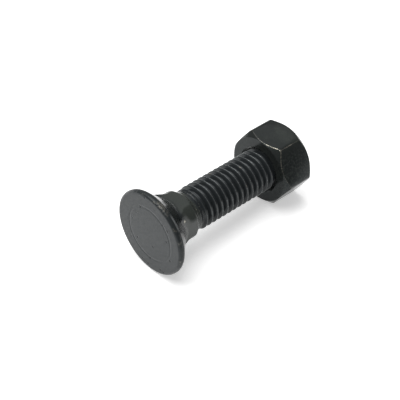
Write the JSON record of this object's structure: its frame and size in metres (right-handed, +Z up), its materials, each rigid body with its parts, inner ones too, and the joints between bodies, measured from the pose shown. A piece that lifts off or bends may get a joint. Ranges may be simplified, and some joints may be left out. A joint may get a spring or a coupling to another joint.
{
  "type": "plow bolt",
  "caption": "Flat countersunk plow bolt with a square neck and a coarse right-hand thread, carrying a chamfered hex nut that runs along the thread.",
  "frame": {"origin": "on the floor, below the middle of the part's box, with the part lying as it comes to rest", "axes": "+X from the head towards the nut, +Z up, +Y completes the right-handed frame"},
  "size_m": [0.0414, 0.0196, 0.0197],
  "materials": {
    "bolt_steel": "black oxide, satin, slightly blue-grey, with light wear on the edges",
    "nut_steel": "black oxide, satin, with bright wear on the chamfered edges"
  },
  "bodies": {
    "bolt": {"plow_bolt": "bolt_steel"},
    "nut": {"hex_nut": "nut_steel"}
  },
  "joints": [
    {"name": "nut_travel", "type": "slide", "parent": "bolt", "child": "nut", "axis": [0.9988, 0, -0.0495], "range_m": [-0.0195, 0.009]}
  ]
}
